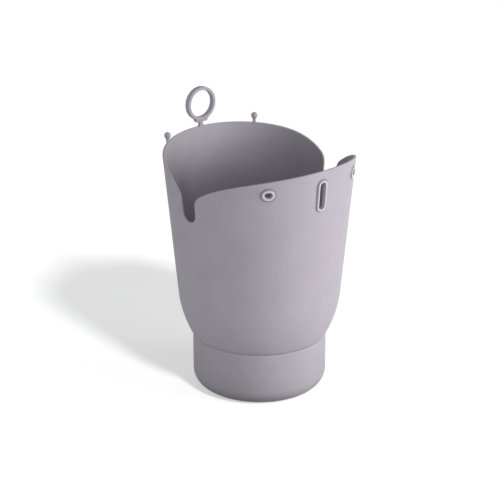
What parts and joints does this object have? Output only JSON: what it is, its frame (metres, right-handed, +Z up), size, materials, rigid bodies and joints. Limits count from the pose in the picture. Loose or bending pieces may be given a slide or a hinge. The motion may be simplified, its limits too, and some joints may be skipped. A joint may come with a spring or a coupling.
{
  "type": "microwave popcorn popper",
  "caption": "Flexible silicone microwave popcorn popper with a base cup, two bending lips, steam slits, a slot, eyelets, studs and a pull ring.",
  "frame": {"origin": "centre of the flat base, on the surface that the popper stands on", "axes": "+Z up along the vessel's axis, -Y towards the front lip with the slot, +Y towards the back lip with the pull ring, +X to the right seen from the front"},
  "size_m": [0.1646, 0.1727, 0.2589],
  "materials": {
    "silicone": "matt",
    "silicone_rim": "satin"
  },
  "bodies": {
    "vessel": {"base_cup": "silicone", "shoulder": "silicone", "body_wall": "silicone"},
    "front_lip": {"front_lip_panel": "silicone", "slot_rim": "silicone_rim"},
    "front_left_lip": {"front_left_panel": "silicone", "left_eyelet_rim": "silicone_rim"},
    "front_right_lip": {"front_right_panel": "silicone", "right_eyelet_rim": "silicone_rim"},
    "front_left_edge": {"front_left_edge": "silicone"},
    "front_right_edge": {"front_right_edge": "silicone"},
    "back_lip": {"back_lip_panel": "silicone"},
    "back_left_lip": {"back_left_panel": "silicone"},
    "back_right_lip": {"back_right_panel": "silicone"},
    "back_left_edge": {"back_left_edge": "silicone"},
    "back_right_edge": {"back_right_edge": "silicone"},
    "left_stud": {"left_stud_stem": "silicone", "left_stud_ball": "silicone"},
    "right_stud": {"right_stud_stem": "silicone", "right_stud_ball": "silicone"},
    "ring_stem": {"ring_neck": "silicone"},
    "ring_head": {"ring_barb": "silicone", "pull_ring": "silicone"}
  },
  "joints": [
    {"name": "front_lip_bend", "type": "hinge", "parent": "vessel", "child": "front_lip", "pos_m": [0, -0.072, 0.079], "axis": [-1, 0, 0], "range_deg": [0, 22], "stiffness_Nm_per_rad": 1.2},
    {"name": "front_left_lip_bend", "type": "hinge", "parent": "vessel", "child": "front_left_lip", "pos_m": [0, -0.072, 0.079], "axis": [-1, 0, 0], "range_deg": [0, 17.05]},
    {"name": "front_left_edge_bend", "type": "hinge", "parent": "vessel", "child": "front_left_edge", "pos_m": [0, -0.072, 0.079], "axis": [-1, 0, 0], "range_deg": [0, 9.9]},
    {"name": "front_right_lip_bend", "type": "hinge", "parent": "vessel", "child": "front_right_lip", "pos_m": [0, -0.072, 0.079], "axis": [-1, 0, 0], "range_deg": [0, 17.05]},
    {"name": "front_right_edge_bend", "type": "hinge", "parent": "vessel", "child": "front_right_edge", "pos_m": [0, -0.072, 0.079], "axis": [-1, 0, 0], "range_deg": [0, 9.9]},
    {"name": "back_lip_bend", "type": "hinge", "parent": "vessel", "child": "back_lip", "pos_m": [0, 0.072, 0.079], "axis": [1, 0, 0], "range_deg": [0, 30], "stiffness_Nm_per_rad": 1.2},
    {"name": "back_left_lip_bend", "type": "hinge", "parent": "vessel", "child": "back_left_lip", "pos_m": [0, 0.072, 0.079], "axis": [1, 0, 0], "range_deg": [0, 26.4]},
    {"name": "back_left_edge_bend", "type": "hinge", "parent": "vessel", "child": "back_left_edge", "pos_m": [0, 0.072, 0.079], "axis": [1, 0, 0], "range_deg": [0, 13.5]},
    {"name": "back_right_lip_bend", "type": "hinge", "parent": "vessel", "child": "back_right_lip", "pos_m": [0, 0.072, 0.079], "axis": [1, 0, 0], "range_deg": [0, 26.4]},
    {"name": "back_right_edge_bend", "type": "hinge", "parent": "vessel", "child": "back_right_edge", "pos_m": [0, 0.072, 0.079], "axis": [1, 0, 0], "range_deg": [0, 13.5]},
    {"name": "ring_bend", "type": "hinge", "parent": "back_lip", "child": "ring_stem", "pos_m": [0, 0.08406, 0.2241], "axis": [1, 0, 0], "range_deg": [-60, 80], "stiffness_Nm_per_rad": 0.02},
    {"name": "ring_twist", "type": "hinge", "parent": "ring_stem", "child": "ring_head", "pos_m": [0, 0.08406, 0.2241], "axis": [0, 0, 1], "range_deg": [-90, 90], "stiffness_Nm_per_rad": 0.008},
    {"name": "left_stud_bend", "type": "hinge", "parent": "back_left_lip", "child": "left_stud", "pos_m": [-0.04929, 0.06784, 0.22191], "axis": [0.809, 0.5878, 0], "range_deg": [-50, 50], "stiffness_Nm_per_rad": 0.004},
    {"name": "right_stud_bend", "type": "hinge", "parent": "back_right_lip", "child": "right_stud", "pos_m": [0.04929, 0.06784, 0.22191], "axis": [0.809, -0.5878, 0], "range_deg": [-50, 50], "stiffness_Nm_per_rad": 0.004}
  ],
  "couplings": [
    {"joint": "front_left_lip_bend", "follows": "front_lip_bend", "ratio": 0.775},
    {"joint": "front_left_edge_bend", "follows": "front_lip_bend", "ratio": 0.45},
    {"joint": "front_right_lip_bend", "follows": "front_lip_bend", "ratio": 0.775},
    {"joint": "front_right_edge_bend", "follows": "front_lip_bend", "ratio": 0.45},
    {"joint": "back_left_lip_bend", "follows": "back_lip_bend", "ratio": 0.88},
    {"joint": "back_left_edge_bend", "follows": "back_lip_bend", "ratio": 0.45},
    {"joint": "back_right_lip_bend", "follows": "back_lip_bend", "ratio": 0.88},
    {"joint": "back_right_edge_bend", "follows": "back_lip_bend", "ratio": 0.45}
  ]
}
